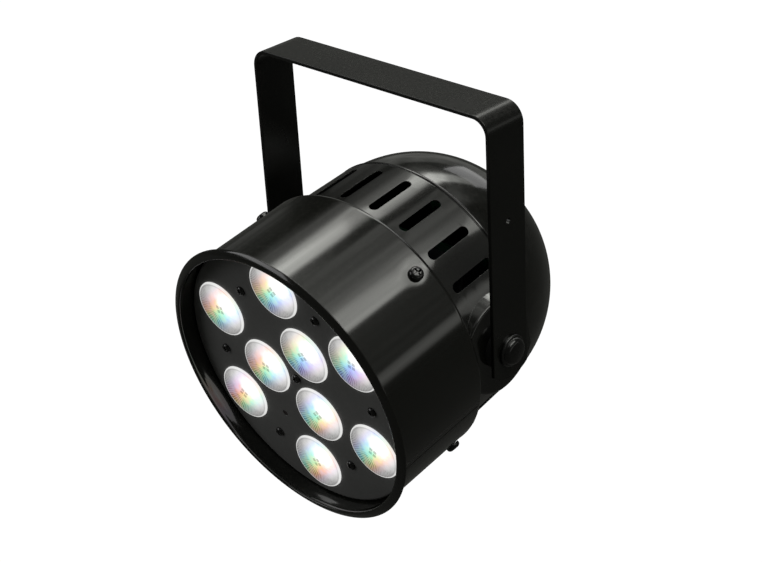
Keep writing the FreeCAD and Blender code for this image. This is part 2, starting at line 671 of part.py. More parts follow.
# --------------------------------------------------------------- mains inlet
RECESS_Y = PANEL_Y1 - 14.0
# plug recess outline, (x, z)
RECESS_XZ = [(-12, -36.0), (12, -36.0), (12, -24.5), (8.5, -20.2), (-8.5, -20.2),
             (-12, -24.5), (-12, -36.0)]
PIN_XZ = [(0.0, -25.6), (-7.0, -30.6), (7.0, -30.6)]


def make_inlet():
    """Flanged inlet with a plug recess above and the fuse drawer's slot below."""
    y = PANEL_Y1
    flange = round_long_y(box(-15.5, 15.5, y, y + 2.0, INLET_Z0, INLET_Z1), 2.0, 1.5)
    inlet = fuse([flange, box(-13.5, 13.5, 62.0, y + 0.5, INLET_Z0 + 1.5, INLET_Z1 - 1.5)])
    corners = [Vector(x, RECESS_Y, z) for x, z in RECESS_XZ]
    recess = Part.Face(Part.makePolygon(corners)).extrude(Vector(0, 30, 0))
    return cut(inlet, [recess, box(-11.6, 11.6, y - 20.0, y + 5, -45.6, -38.2)])


def make_fuse_drawer():
    y = PANEL_Y1
    return cut(box(-11.5, 11.5, y - 19.5, y + 2.4, -45.5, -38.3),
               [box(-9.5, 9.5, y - 17.5, y - 5.0, -43.5, -37.0),
                box(-4.0, 4.0, y + 1.3, y + 3.0, -42.9, -40.9)])


export("power_inlet", make_inlet())
export("power_inlet_pins", [box(x - 1, x + 1, RECESS_Y, PANEL_Y1 - 2.0, z - 2, z + 2)
                            for x, z in PIN_XZ])
export("fuse_drawer", make_fuse_drawer())
export("fuse", Part.makeCylinder(2.0, 17.0, Vector(-8.5, PANEL_Y1 - 11.2, -41.3),
                                 Vector(1, 0, 0)))
export("panel_screws", screws_y(PANEL_SCREW, PANEL_SCREW_XZ, PANEL_Y1, 1))


# -------------------------------------------------------------------- wiring
def bent_wire(points, r):
    """Round wire along straight runs with ball corners."""
    points = [Vector(*point) for point in points]
    runs = [Part.makeCylinder(r, (end - start).Length, start, end - start)
            for start, end in zip(points[:-1], points[1:])]
    return fuse(runs + [Part.makeSphere(r, point) for point in points[1:-1]])


cable_x, cable_z = CABLE_XZ
# from in front of the power board, through the heat sink and the LED board
LED_LEAD = [(40, 41.7, -40.4), (40, 30, -50), (cable_x, -20, cable_z),
            (cable_x, BOARD_Y0 - 1.2, cable_z)]
export("led_lead", [bent_wire(LED_LEAD, 1.6)])
export("mains_lead", cyls_y(1.2, 45.7, 61.9, [(x, -31.0) for x in (-7, 0, 7)]))


# ------------------------------------------------------------- barrel screws
def make_barrel_screws():
    screws = []
    for angle in BARREL_SCREW_ANGLES:
        x, z = polar(1.0, angle)
        seat = (BARREL_SCREW_SEAT_R * x, BARREL_SCREW_Y, BARREL_SCREW_SEAT_R * z)
        screws.append(aim(pan_screw(*BARREL_SCREW), seat, (x, 0, z)))
    return screws


export("barrel_screws", make_barrel_screws())

# ------------------------------------------------------------ pivot hardware
BOLT_SHOULDER_R = 5.0
BOLT_HEAD_X = YOKE_HALF_W + 0.06
BOLT_TOP_X = BOLT_HEAD_X + 6.0
CROWN_R = 20.0            # sphere radius of the bolt head's crown
CROWN_RIM_R = 5.6
WASHER_X0 = BOSS_X + 0.02
WASHER_X1 = 93.3
NUT_H = 6.5


def on_crown(angle):
    """Profile point on the crown, at an angle in radians from the bolt's axis."""
    return CROWN_R * math.sin(angle), BOLT_TOP_X - CROWN_R * (1 - math.cos(angle))


def make_pivot_bolt():
    head = BOLT_HEAD_X
    rim = math.asin(CROWN_RIM_R / CROWN_R)
    bolt = revolve([
        (0, 74.0), (3.3, 74.0), (3.95, 74.7), (3.95, WASHER_X0), (BOLT_SHOULDER_R, WASHER_X0),
        (BOLT_SHOULDER_R, head), (10.2, head), (10.2, head + 1.1),
        ("arc", (9.95, head + 1.75), (9.3, head + 2.1)), (8.75, head + 2.15),
        ("arc", (7.85, head + 4.1), on_crown(rim)),
        ("arc", on_crown(rim / 2), (0, BOLT_TOP_X))])
    turn(bolt, (0, 0, 1), -90)   # +Y becomes +X
    return bolt


def make_friction_washer():
    return cyl_x(14.0, WASHER_X0, WASHER_X1 - WASHER_X0).cut(cyl_x(5.3, BOSS_X - 1, 10))


def make_pivot_nut():
    nut = aim(hexagon(13.0, NUT_H), (BOSS_X - SKIN - NUT_H - 0.05, 0, 0), (1, 0, 0))
    return cut(nut, [cyl_x(4.0, 76, 20)])


def both_sides(shape):
    """The +X piece and its copy turned half round to -X."""
    other = shape.copy()
    turn(other, (0, 0, 1), 180)
    return [shape, other]


export("pivot_bolts", both_sides(make_pivot_bolt()))
export("friction_washers", both_sides(make_friction_washer()))
export("pivot_nuts", both_sides(make_pivot_nut()))
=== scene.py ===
import bpy
import json
import math
import numpy as np
from mathutils import Matrix, Vector

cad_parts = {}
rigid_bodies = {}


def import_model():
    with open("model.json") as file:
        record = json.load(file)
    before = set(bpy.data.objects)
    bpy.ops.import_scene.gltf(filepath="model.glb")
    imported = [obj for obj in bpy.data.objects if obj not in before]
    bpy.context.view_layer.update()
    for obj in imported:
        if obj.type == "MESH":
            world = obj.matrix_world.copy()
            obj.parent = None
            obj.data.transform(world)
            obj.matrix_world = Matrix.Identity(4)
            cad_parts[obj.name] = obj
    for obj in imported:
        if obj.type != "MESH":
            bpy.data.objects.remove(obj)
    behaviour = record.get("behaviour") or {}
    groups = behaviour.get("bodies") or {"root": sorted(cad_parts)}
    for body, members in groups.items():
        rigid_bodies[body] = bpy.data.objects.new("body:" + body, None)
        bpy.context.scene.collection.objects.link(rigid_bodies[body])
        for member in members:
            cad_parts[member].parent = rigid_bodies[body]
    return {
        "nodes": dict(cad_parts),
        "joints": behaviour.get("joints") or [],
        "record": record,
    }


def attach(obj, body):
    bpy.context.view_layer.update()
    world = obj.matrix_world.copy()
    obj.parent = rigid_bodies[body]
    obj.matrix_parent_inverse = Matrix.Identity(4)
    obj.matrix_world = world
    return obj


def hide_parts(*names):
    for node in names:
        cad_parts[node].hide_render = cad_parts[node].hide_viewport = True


for stray in list(bpy.data.objects):
    bpy.data.objects.remove(stray)

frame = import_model()
cad_nodes = frame["nodes"]
# the yoke's strap still shows and shades, but isn't mirrored in the glossy paint
cad_nodes["yoke_bracket"].visible_glossy = False
joints = {joint["name"]: joint for joint in frame["joints"]}
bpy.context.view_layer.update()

MM = 0.001
PIVOT = Vector(joints["can_tilt"]["pos_m"])
rearward = Vector(joints["fan_spin"]["axis"])
TILT = math.atan2(rearward.z, rearward.y)
CAN = Matrix.Translation(PIVOT) @ Matrix.Rotation(TILT, 4, "X")

# ---------------------------------------------------------------- dimensions
# Barrel, mm in the can's frame: r from the axis, y along it
WALL_FRONT_R = 92.24           # outside of the wall, tapering to the rear
WALL_REAR_R = 91.86
SHEET = 1.2
LIP_Y = -98.57
WALL_FRONT_Y = LIP_Y + 2.25
INNER_LIP_Y = LIP_Y + 2.6
CREST_R = 91.8                 # foremost point of the rolled rim
CREST_Y = -100.7
REAR_Y = -23.2
REAR_CORNER = 2.4              # outer radius of the rear corner
REAR_CORNER_Y = REAR_Y - REAR_CORNER
REAR_HOLE_R = 88.6

# Relief on the barrel's wall: degrees about y from +X toward up, heights in mm
BAND_HEIGHT = 0.62             # raised lengthwise band
BAND_START = (-29.55, -29.25)  # (flush, fully raised)
BAND_END = (-18.12, -18.42)
GROOVE_ANGLE = -15.48          # lengthwise groove beside the band
GROOVE_DEPTH = 0.35
GROOVE_EDGE = (0.34, 0.12)     # (flush, full depth) degrees from its middle
DIMPLE_DEPTH = 0.42            # hollow around each screw
DIMPLE_SPREAD = 7.2
DIMPLE_ARC_R = 92.0            # radius that turns degrees into arc length
SCREW_Y = -34.4
SCREW_ANGLES = [a if a < 180 else a - 360 for a in (46.4 + 90 * k for k in range(4))]

# Bead between the housing and the dome, mm
BEAD_R = 84.35
BEAD_Y = 27.38
BEAD_WIRE_R = 0.55

# Lens, mm: y 0 is its front rim, the cup narrows toward the rear
LENS_R = 19.0
FACE_R = 18.5
FACE_RISE = 0.75
FLANGE_R = 20.3
FLANGE_Y = (2.6, 4.1)
CUP_FRONT_R = 18.2
CUP_REAR_R = 6.6
CUP_REAR_Y = 22.4
CUP_BULGE = 2.2
SOCKET_R = 4.0

# Stage, metres
FLOOR_HALF = 6.0
FLOOR_DROP = 0.42              # below the pivot
SOFTBOX_DISTANCE = 2.4
BACKDROP_STRENGTH = 1.05       # what the camera sees of the world and floor


# -------------------------------------------------------------- node building
class Value:
    """A shader socket; arithmetic on it adds Math nodes to its graph."""

    def __init__(self, graph, socket):
        self.graph = graph
        self.socket = socket

    def __add__(self, other):
        return self.graph.math("ADD", self, other)

    def __radd__(self, other):
        return self.graph.math("ADD", other, self)

    def __sub__(self, other):
        return self.graph.math("SUBTRACT", self, other)

    def __rsub__(self, other):
        return self.graph.math("SUBTRACT", other, self)

    def __mul__(self, other):
        return self.graph.math("MULTIPLY", self, other)

    def __truediv__(self, other):
        return self.graph.math("DIVIDE", self, other)

    def __rtruediv__(self, other):
        return self.graph.math("DIVIDE", other, self)

    def __abs__(self):
        return self.graph.math("ABSOLUTE", self)

    def sqrt(self):
        return self.graph.math("SQRT", self)

    def scaled(self, scale):
        """A vector or colour times a number."""
        return self.graph.value("ShaderNodeVectorMath", {0: self, "Scale": scale},
                                operation="SCALE")

    def step(self, start, end, low=0.0, high=1.0):
        """Smooth step from low at start to high at end; start may be the larger."""
        inputs = {"Value": self, "From Min": start, "From Max": end,
                  "To Min": low, "To Max": high}
        return self.graph.value("ShaderNodeMapRange", inputs,
                                interpolation_type="SMOOTHSTEP", clamp=True)

    def ramp(self, stops, interpolation="LINEAR"):
        """Colour ramp through (position, grey level or colour) stops."""
        node = self.graph.node("ShaderNodeValToRGB", {0: self})
        node.color_ramp.interpolation = interpolation
        elements = node.color_ramp.elements
        while len(elements) < len(stops):
            elements.new(0.5)
        for element, (position, color) in zip(elements, stops):
            element.position = position
            element.color = (*color, 1) if isinstance(color, tuple) else (color, color, color, 1)
        return Value(self.graph, node.outputs[0])


class Graph:
    """Builds one node tree."""

    def __init__(self, tree):
        self.tree = tree
        tree.nodes.clear()

    def put(self, socket, value):
        if isinstance(value, Value):
            self.tree.links.new(value.socket, socket)
        elif socket.type == "RGBA":
            socket.default_value = (*value, 1)
        else:
            socket.default_value = value

    def node(self, kind, inputs=None, **properties):
        node = self.tree.nodes.new(kind)
        for key, value in properties.items():
            setattr(node, key, value)
        for key, value in (inputs or {}).items():
            self.put(node.inputs[key], value)
        return node

    def value(self, kind, inputs=None, output=0, **properties):
        return Value(self, self.node(kind, inputs, **properties).outputs[output])

    def coords(self, output="Object"):
        return self.value("ShaderNodeTexCoord", output=output)

    def math(self, operation, *operands, clamp=False):
        return self.value("ShaderNodeMath", dict(enumerate(operands)),
                          operation=operation, use_clamp=clamp)

    def dot(self, first, second):
        return self.value("ShaderNodeVectorMath", {0: first, 1: second}, output="Value",
                          operation="DOT_PRODUCT")

    def split(self, vector):
        node = self.node("ShaderNodeSeparateXYZ", {0: vector})
        return [Value(self, socket) for socket in node.outputs]

    def mix(self, amount, first, second):
        return self.value("ShaderNodeMix", {0: amount, 6: first, 7: second}, output=2,
                          data_type="RGBA")

    def noise(self, coords, scale, detail=3.0, rough=0.5):
        inputs = {"Vector": coords, "Scale": scale, "Detail": detail, "Roughness": rough}
        return self.value("ShaderNodeTexNoise", inputs)

    def bevel(self, radius, samples):
        return self.value("ShaderNodeBevel", {"Radius": radius}, samples=samples)

    def bump(self, height, distance, normal):
        inputs = {"Strength": 1.0, "Distance": distance, "Height": height, "Normal": normal}
        return self.value("ShaderNodeBump", inputs)

    def camera_switch(self, others, camera):
        """One shader for camera rays, another for all the rest."""
        is_camera = self.value("ShaderNodeLightPath", output="Is Camera Ray")
        return self.value("ShaderNodeMixShader", {0: is_camera, 1: others, 2: camera})

    def finish(self, shader, kind="ShaderNodeOutputMaterial"):
        self.node(kind, {0: shader})

    def finish_principled(self, inputs):
        self.finish(self.value("ShaderNodeBsdfPrincipled", inputs))


def new_material(name):
    material = bpy.data.materials.new(name)
    material.use_nodes = True
    return material, Graph(material.node_tree)


# ------------------------------------------------------------------ materials
def surface(name, color, rough, tone_spread=0.25, rough_spread=0.06, metal=0.0, specular=0.5,
            coat=0.0, coat_rough=0.05, bump=0.0, bump_scale=900.0, wave=0.0, edge=0.0004,
            wear=0.35, wear_color=None, tone_scale=22.0, grain=None, dust=0.0):
    """Painted, moulded or metal finish with varied tone, relief, soft worn edges and dust.

    bump, wave and edge are metres: fine relief, broad relief and edge radius. The spreads
    are half-ranges, grain stretches the fine noise, wear and dust are amounts.
    """
    material, graph = new_material(name)
    coords = graph.coords()
    grain_coords = coords
    if grain:
        grain_coords = graph.value("ShaderNodeMapping", {"Vector": coords, "Scale": grain})

    # colour, mottled by broad and fine noise
    broad = graph.noise(coords, scale=tone_scale, detail=4.0, rough=0.55)
    fine = graph.noise(grain_coords, scale=bump_scale * 0.35, rough=0.6)
    dark = tuple(c * (1 - tone_spread) for c in color)
    light = tuple(min(1.0, c * (1 + tone_spread)) for c in color)
    base = (broad * 0.7 + fine * 0.3).ramp([(0.30, dark), (0.70, light)])

    # edges are worn in patches where the bevelled normal leaves the face's own
    bevel = graph.bevel(edge, samples=4)
    face_normal = graph.value("ShaderNodeNewGeometry", output="Normal")
    edge_mask = (1.0 - graph.dot(bevel, face_normal)).step(start=0.02, end=0.22)
    patches = graph.noise(coords, scale=160.0, detail=5.0, rough=0.65).step(start=0.42, end=0.68)
    worn = edge_mask * patches * wear
    base = graph.mix(worn, base, wear_color or tuple(min(1.0, c * 3.2 + 0.02) for c in color))

    # roughness follows the broad noise, and rises with wear
    roughness = (rough - rough_spread) + broad * (2 * rough_spread)
    roughness = graph.math("ADD", roughness, worn * 0.15, clamp=True)
    if dust:
        # pale, rougher dust on faces that look up
        up = graph.split(face_normal)[2]
        dusty = up.step(start=0.3, end=1.0) * fine.step(start=0.45, end=0.75) * dust
        base = graph.mix(dusty, base, (0.30, 0.29, 0.27))
        roughness = graph.math("ADD", roughness, dusty * 0.4, clamp=True)

    normal = bevel
    if wave:
        broad_relief = graph.noise(coords, scale=34.0, detail=2.0, rough=0.4)
        normal = graph.bump(broad_relief, distance=wave, normal=normal)
    if bump:
        fine_relief = graph.noise(grain_coords, scale=bump_scale, detail=2.0)
        normal = graph.bump(fine_relief, distance=bump, normal=normal)
    graph.finish_principled({
        "Base Color": base, "Roughness": roughness, "Metallic": metal, "IOR": 1.5,
        "Specular IOR Level": specular, "Coat Weight": coat, "Coat Roughness": coat_rough,
        "Normal": normal})
    return material


GLOSS_PAINT = dict(tone_spread=0.22, rough_spread=0.03, coat=0.5, bump=0.000004,
                   bump_scale=1100, dust=0.03)

FINISHES = {
    "can_paint": dict(GLOSS_PAINT, color=(0.0080, 0.0084, 0.0068), rough=0.12,
                      coat_rough=0.045, wave=0.00006, wear=0.22),
    "can_paint_rear": dict(GLOSS_PAINT, color=(0.0080, 0.0084, 0.0070), rough=0.13,
                           wave=0.00004, edge=0.0005, wear=0.25),
    "can_paint_dome": dict(GLOSS_PAINT, color=(0.0080, 0.0084, 0.0070), rough=0.13,
                           wave=0.00005, wear=0.22),
    "yoke_paint": dict(color=(0.0065, 0.0069, 0.0058), rough=0.26, rough_spread=0.05,
                       bump=0.00001, bump_scale=1300, edge=0.0005, wear=0.30, dust=0.05),
    "plate_paint": dict(color=(0.150, 0.151, 0.148), rough=0.55, tone_spread=0.16,
                        rough_spread=0.05, bump=0.000008, bump_scale=1500, wear=0.25,
                        specular=0.4),
    "panel_paint": dict(color=(0.022, 0.022, 0.023), rough=0.40, tone_spread=0.2,
                        bump=0.000012, bump_scale=1400, wear=0.3, dust=0.04),
    "white_plastic": dict(color=(0.80, 0.80, 0.78), rough=0.42, tone_spread=0.05,
                          bump=0.000006, wear=0.05),
    "board_white": dict(color=(0.78, 0.79, 0.77), rough=0.35, tone_spread=0.06,
                        bump=0.00001, bump_scale=500),
    "board_green": dict(color=(0.02, 0.14, 0.055), rough=0.30, tone_spread=0.3,
                        bump=0.00002, bump_scale=260, tone_scale=90),
    "aluminium": dict(color=(0.66, 0.67, 0.68), rough=0.34, tone_spread=0.08, metal=1.0,
                      rough_spread=0.08, bump=0.000006, bump_scale=700, grain=(1, 1, 12),
                      wear=0.3),
    "zinc_steel": dict(color=(0.56, 0.56, 0.53), rough=0.30, tone_spread=0.12, metal=1.0,
                       rough_spread=0.08, bump=0.000005, bump_scale=1500, wear=0.3,
                       tone_scale=160),
    "black_steel": dict(color=(0.0065, 0.0066, 0.0062), rough=0.16, tone_spread=0.3,
                        bump=0.000006, bump_scale=1800, edge=0.0003, wear=0.45,
                        wear_color=(0.10, 0.10, 0.10), tone_scale=180, coat=0.3),
    "smoked_plastic": dict(color=(0.018, 0.008, 0.010), rough=0.10, tone_spread=0.2,
                           rough_spread=0.03, bump=0.000001, coat=0.5),
    "black_plastic": dict(color=(0.018, 0.018, 0.019), rough=0.42, tone_spread=0.2,
                          bump=0.00001, bump_scale=1500),
    "button_plastic": dict(color=(0.045, 0.045, 0.05), rough=0.38, tone_spread=0.15,
                           bump=0.000008, bump_scale=1600, wear=0.3),
    "component_plastic": dict(color=(0.08, 0.08, 0.10), rough=0.45, bump=0.00001),
    "socket_metal": dict(color=(0.024, 0.024, 0.025), rough=0.30, tone_spread=0.2,
                         bump=0.00001, bump_scale=1600, wear=0.5,
                         wear_color=(0.16, 0.16, 0.15)),
    "contact_brass": dict(color=(0.72, 0.55, 0.25), rough=0.25, tone_spread=0.12, metal=1.0),
    "latch_plastic": dict(color=(0.28, 0.28, 0.29), rough=0.32, tone_spread=0.12,
                          bump=0.000006),
    "inlet_plastic": dict(color=(0.020, 0.020, 0.020), rough=0.36, tone_spread=0.2,
                          bump=0.00001, bump_scale=1500),
    "fuse_glass": dict(color=(0.70, 0.76, 0.76), rough=0.06, tone_spread=0.05,
                       rough_spread=0.02),
    "cable": dict(color=(0.022, 0.022, 0.023), rough=0.48, tone_spread=0.2, bump=0.00001),
    "rubber": dict(color=(0.020, 0.020, 0.020), rough=0.62, bump=0.00002, bump_scale=1400),
}


def emitter_material():
    """Lit yellow emitter."""
    material, graph = new_material("emitter")
    tone = graph.noise(graph.coords(), scale=400.0)
    graph.finish_principled({
        "Base Color": tone.ramp([(0.3, (0.85, 0.72, 0.35)), (0.7, (0.98, 0.90, 0.60))]),
        "Roughness": 0.4,
        "Emission Color": (1.0, 0.97, 0.9),
        "Emission Strength": 2.0})
    return material


def display_material():
    """Dark display face with a faint, uneven red glow."""
    material, graph = new_material("display")
    tone = graph.noise(graph.coords(), scale=300.0)
    graph.finish_principled({
        "Base Color": tone.ramp([(0.3, (0.02, 0.01, 0.01)), (0.7, (0.04, 0.015, 0.015))]),
        "Roughness": 0.3,
        "Emission Color": (0.9, 0.05, 0.02),
        "Emission Strength": tone * 0.12})
    return material


# (position, colour) around the hue circle
RAINBOW = [(0.0, (0.88, 0.48, 0.60)), (0.13, (0.96, 0.40, 0.24)), (0.26, (1.0, 0.80, 0.34)),
           (0.40, (0.34, 0.90, 0.50)), (0.54, (0.36, 0.86, 0.92)), (0.68, (0.30, 0.44, 0.96)),
           (0.84, (0.60, 0.42, 0.88)), (1.0, (0.88, 0.48, 0.60))]
# (position, level) from the viewer's side to the far wall, for the white and coloured light
WHITE_FALLOFF = [(0.0, 1.0), (0.24, 0.97), (0.33, 0.84), (0.47, 0.60), (0.62, 0.43),
                 (0.75, 0.34), (1.0, 0.27)]
COLOR_FALLOFF = [(0.0, 1.0), (0.30, 0.98), (0.52, 0.84), (0.66, 0.58), (0.80, 0.42),
                 (1.0, 0.30)]


def lens_material(name, hue_middle, hue_turn, spin):
    """Glowing moulded lens; its ribbed wall shows as a crescent away from the viewer.

    Lengths are in lens radii. hue_middle is the colour at the middle, hue_turn (1 or -1)
    the way the colours run, spin (radians) turns the emitter seen through the lens.
    """
    wall_depth = 0.70              # how far behind the face the wall is seen
    flatten_full, flatten_slope = 0.66, 0.33   # refraction flattens the line of sight
    hue_rate = 0.56                # hue change along the crescent
    rib_rate = 104.0               # ribs per radian, times two pi
    die_offset = 0.085             # each emitter square's middle from the centre lines

    material, graph = new_material(name)
    coords = graph.coords()
    incoming = graph.value("ShaderNodeNewGeometry", output="Incoming")
    to_viewer = graph.value("ShaderNodeVectorTransform", {0: incoming}, vector_type="VECTOR",
                            convert_from="WORLD", convert_to="OBJECT")
    x, _, z = graph.split(coords.scaled(1.0 / (LENS_R * MM)))
    view_x, view_y, view_z = graph.split(to_viewer)

    # slope of the line of sight, flattened, and the point on the wall it leads to
    forward = graph.math("MAXIMUM", view_y * -1.0, 0.25)
    slope_x = view_x / forward
    slope_z = view_z / forward
    slope = (slope_x * slope_x + (slope_z * slope_z + 1e-6)).sqrt()
    flatten = flatten_full / (1.0 + slope * flatten_slope)
    sight_x = slope_x * flatten
    sight_z = slope_z * flatten
    wall_x = x - sight_x * wall_depth
    wall_z = z - sight_z * wall_depth
    wall_r = (wall_x * wall_x + wall_z * wall_z).sqrt()
    face_r = (x * x + z * z).sqrt()
    wobble = graph.noise(coords, scale=260.0, rough=0.6)
    wall_r = wall_r + (wobble - 0.5) * 0.30
    crescent = wall_r.step(start=0.70, end=1.10)

    # hue runs along the crescent, across the line of sight
    across = (x * sight_z - z * sight_x) / graph.math("MAXIMUM", slope * flatten, 0.05)
    patches = graph.noise(coords, scale=150.0, rough=0.55)
    # the added 4 keeps the hue positive
    hue = across * (hue_rate * hue_turn) + (hue_middle + 4.0) + (patches - 0.5) * 0.38
    rainbow = graph.math("FRACT", hue).ramp(RAINBOW, "B_SPLINE")

    # white toward the viewer, coloured and dimmer toward the far wall
    distance = graph.math("DIVIDE", wall_r, 1.6, clamp=True)
    white_level = distance.ramp(WHITE_FALLOFF)
    color_level = distance.ramp(COLOR_FALLOFF)
    white = wobble.ramp([(0.3, (0.93, 0.92, 0.90)), (0.7, (1.0, 0.99, 0.985))])
    ends = abs(across).step(start=0.80, end=0.22)
    saturation = (ends * wall_r.step(start=0.26, end=0.66)
                  * patches.step(start=0.28, end=0.62, low=0.60, high=1.0))
    color = graph.mix(saturation * 0.90, white.scaled(white_level),
                      rainbow.scaled(color_level))

    # ribs of the side wall
    angle = graph.math("ARCTAN2", wall_z, wall_x)
    ribs = graph.math("SINE", angle * rib_rate + wobble * 5.0)
    ribs = ribs.step(start=-0.6, end=0.9) * crescent
    shade = 1.0 - ribs * patches.step(start=0.30, end=0.66, low=0.16, high=0.58)

    # rim: a thin darker line, then a bright ring
    line = face_r.step(start=0.885, end=0.915) * face_r.step(start=0.955, end=0.93)
    ring = face_r.step(start=0.945, end=0.970)
    shade = shade * (1.0 - line * 0.18)

    # emitter in the middle: four small squares, slightly darker
    cos_spin = math.cos(spin)
    sin_spin = math.sin(spin)
    die_x = x * cos_spin + z * sin_spin
    die_z = z * cos_spin - x * sin_spin
    square = graph.math("MAXIMUM", abs(abs(die_x) - die_offset), abs(abs(die_z) - die_offset))
    shade = shade * (1.0 - square.step(start=0.072, end=0.054) * 0.42)
    color = graph.mix(ring * 0.70, color.scaled(shade), (0.72, 0.72, 0.71))

    normal = graph.bump(graph.noise(coords, scale=1800.0), distance=0.00001,
                        normal=graph.bevel(0.0003, samples=3))
    graph.finish_principled({
        "Base Color": color.scaled(0.15), "Roughness": 0.08 + wobble * 0.14,
        "Normal": normal, "Emission Color": color, "Emission Strength": 1.22})
    return material


materials = {name: surface(name, **finish) for name, finish in FINISHES.items()}
materials["emitter"] = emitter_material()
materials["display"] = display_material()


# -------------------------------------------------------------- mesh building
def add_mesh(name, verts, faces, material, matrix=None, sharp=32.0):
    """Smooth-shaded object; edges over `sharp` degrees stay sharp."""
    mesh = bpy.data.meshes.new(name)
    mesh.from_pydata(verts, [], faces)
    mesh.validate()
    mesh.shade_smooth()
    mesh.set_sharp_from_angle(angle=math.radians(sharp))
    mesh.materials.append(material)
    obj = bpy.data.objects.new(name, mesh)
    bpy.context.scene.collection.objects.link(obj)
    if matrix is not None:
        obj.matrix_world = matrix
    return obj


def smoothstep(x, start, end):
    t = min(1.0, max(0.0, (x - start) / (end - start)))
    return t * t * (3 - 2 * t)


def arc(center_r, center_y, radius, start, end, steps):
    """(r, y) points of an arc; start and end in degrees."""
    turns = [math.radians(start + (end - start) * i / steps) for i in range(steps + 1)]
    return [(center_r + radius * math.cos(t), center_y + radius * math.sin(t)) for t in turns]


def smooth_line(points, steps):
    """Catmull-Rom line through the points."""
    padded = [points[0]] + list(points) + [points[-1]]
    line = []
    for i in range(1, len(padded) - 2):
        a, b, c, d = (np.array(padded[i + k], float) for k in (-1, 0, 1, 2))
        for j in range(steps):
            t = j / steps
            line.append(tuple(0.5 * (2 * b + (c - a) * t + (2 * a - 5 * b + 4 * c - d) * t * t
                                     + (3 * b - a - 3 * c + d) * t ** 3)))
    line.append(tuple(points[-1]))
    return line


def revolve(outline, angles, offset=None):
    """Closed (r, y) outline in mm turned about y at the angles (degrees).

    offset(index, y, angle) is added to r.
    """
    turns = len(angles)
    count = len(outline)
    verts = []
    faces = []
    for angle in angles:
        cos_a = math.cos(math.radians(angle))
        sin_a = math.sin(math.radians(angle))
        for i, (r, y) in enumerate(outline):
            if offset:
                r = r + offset(i, y, angle)
            verts.append((r * cos_a * MM, y * MM, r * sin_a * MM))
    for j in range(turns):
        this = j * count
        following = (j + 1) % turns * count
        for i in range(count):
            k = (i + 1) % count
            faces.append((this + i, this + k, following + k, following + i))
    return verts, faces


# --------------------------------------------------------------------- barrel
# (r, y) from the inner wall forward, over the crest, out round the rim and back
# to the front of the outer wall
LIP_OUTLINE = [
    (WALL_FRONT_R - SHEET, INNER_LIP_Y + 0.6), (90.9, LIP_Y + 1.6), (90.62, LIP_Y + 0.2),
    (90.55, LIP_Y - 0.9), (90.78, LIP_Y - 1.72), (91.22, LIP_Y - 2.06), (CREST_R, CREST_Y),
    (92.9, -100.36), (94.0, -99.86), (94.9, -99.38), (95.68, -98.92), (96.2, -98.50),
    (96.46, -98.12), (96.42, -97.80), (96.12, -97.60), (95.2, -97.46), (93.9, -97.26),
    (92.9, -96.98), (92.40, -96.66), (WALL_FRONT_R, WALL_FRONT_Y)]


def wall_radius(y):
    along_wall = (WALL_REAR_R - WALL_FRONT_R) * (y - WALL_FRONT_Y)
    return WALL_FRONT_R + along_wall / (REAR_CORNER_Y - WALL_FRONT_Y)


def barrel_outline():
    """Closed (r, y) section, and how many of its first points are the outer wall."""
    stations = (list(np.linspace(WALL_FRONT_Y + 0.15, -48.0, 18))
                + list(np.linspace(-47.0, REAR_CORNER_Y, 26)))
    outline = [(wall_radius(y), y) for y in stations]
    corner_r = WALL_REAR_R - REAR_CORNER
    outline += arc(corner_r, REAR_CORNER_Y, REAR_CORNER, 8, 90, 9)
    outline += [(REAR_HOLE_R, REAR_Y), (REAR_HOLE_R, REAR_Y - SHEET)]
    outline += arc(corner_r, REAR_CORNER_Y, REAR_CORNER - SHEET, 90, 0, 5)
    outline += [(wall_radius(y) - SHEET, y)
                for y in np.linspace(REAR_CORNER_Y - 2, INNER_LIP_Y + 1.5, 14)]
    outline += smooth_line(LIP_OUTLINE, 4)
    return outline, len(stations)


def barrel_angles():
    """Even steps, with finer ones at the band's edges, the groove and the screws."""
    angles = set(np.round(np.arange(-180, 180, 1.25), 3))
    for center in (-29.4, -18.3, GROOVE_ANGLE):
        angles |= set(np.round(np.arange(center - 1.4, center + 1.4, 0.07), 3))
    for center in SCREW_ANGLES:
        angles |= set(np.round(np.arange(center - 11, center + 11, 0.45), 3))
    return sorted(angles)


def wall_relief(y, angle):
    """Height of the band, groove and dimples, fading out at the wall's ends."""
    fade = (smoothstep(y, WALL_FRONT_Y + 0.5, WALL_FRONT_Y + 2.6)
            * smoothstep(y, REAR_CORNER_Y, REAR_CORNER_Y - 1.2))
    height = BAND_HEIGHT * smoothstep(angle, *BAND_START) * smoothstep(angle, *BAND_END)
    height -= GROOVE_DEPTH * smoothstep(abs(angle - GROOVE_ANGLE), *GROOVE_EDGE)
    for screw in SCREW_ANGLES:
        distance = math.hypot(math.radians(angle - screw) * DIMPLE_ARC_R, y - SCREW_Y)
        height -= DIMPLE_DEPTH * math.exp(-(distance / DIMPLE_SPREAD) ** 2)
    return height * fade


def make_barrel():
    outline, outer_count = barrel_outline()

    def offset(i, y, angle):
        return wall_relief(y, angle) if i < outer_count else 0.0

    verts, faces = revolve(outline, barrel_angles(), offset)
    return add_mesh("barrel_shell", verts, faces, materials["can_paint"], CAN, sharp=30)


def make_bead():
    """Rolled bead in the joint between the housing and the dome."""
    section = [(BEAD_R + BEAD_WIRE_R * math.cos(math.radians(a)),
                BEAD_Y + BEAD_WIRE_R * math.sin(math.radians(a))) for a in range(0, 360, 30)]
    verts, faces = revolve(section, [360 * k / 220 for k in range(220)])
    return add_mesh("dome_bead", verts, faces, materials["can_paint_dome"], CAN, sharp=60)


barrel = make_barrel()
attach(barrel, "can")
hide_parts("front_barrel")

bead = make_bead()
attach(bead, "can")

